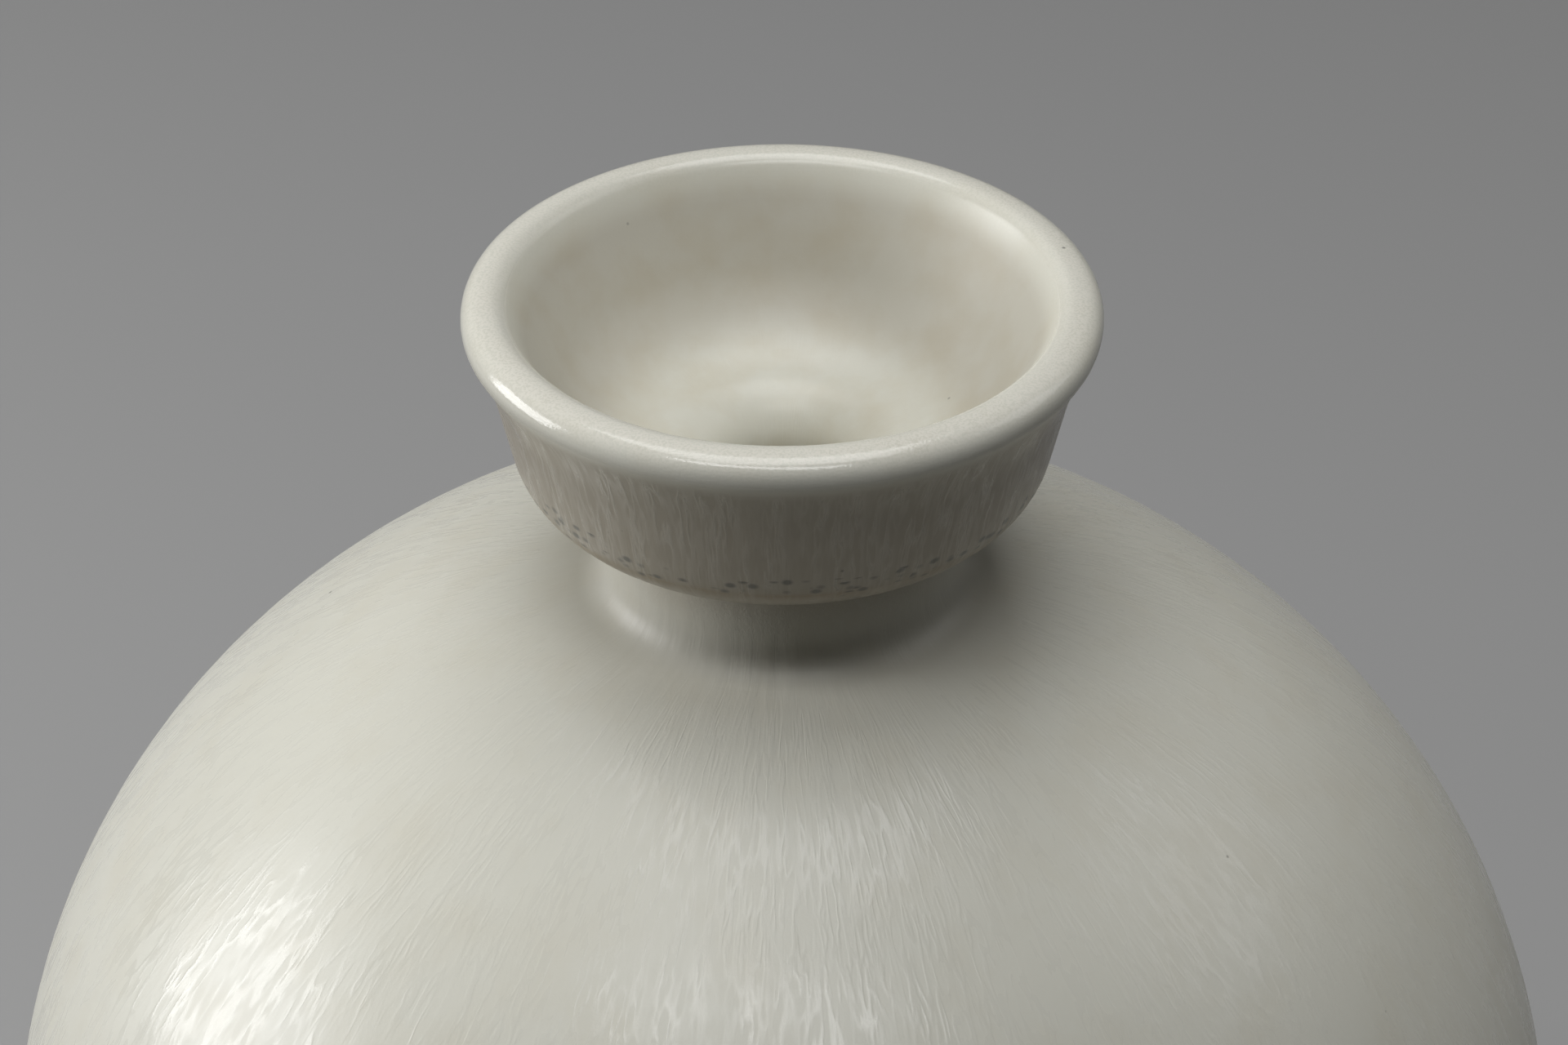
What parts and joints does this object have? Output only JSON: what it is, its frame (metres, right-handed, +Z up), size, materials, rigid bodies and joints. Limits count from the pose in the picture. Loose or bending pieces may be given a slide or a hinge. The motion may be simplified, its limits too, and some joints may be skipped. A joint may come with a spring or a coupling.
{
  "type": "cup-mouthed bottle vase",
  "caption": "Globular glazed stoneware bottle vase with a short narrow neck, a flared cup-shaped mouth with a rounded lip, and a low bare foot ring.",
  "frame": {"origin": "centre of the foot ring's resting face, on the vase's axis", "axes": "+Z up along the vase's axis, +X to the right and -Y towards the picture's viewer"},
  "size_m": [0.1872, 0.1872, 0.21],
  "materials": {
    "stoneware": "matte, bare fired clay",
    "slip": "matte, fired slip",
    "glaze": "satin, off-white with fine running streaks",
    "liner": "satin, off-white"
  },
  "bodies": {
    "root": {"lower_bowl": "stoneware", "waist_slip_joint": "slip", "upper_bowl": "stoneware", "neck_slip_joint": "slip", "neck_collar": "stoneware", "cup_slip_joint": "slip", "cup_mouth": "stoneware", "outer_glaze": "glaze", "liner_glaze": "liner"}
  },
  "joints": []
}
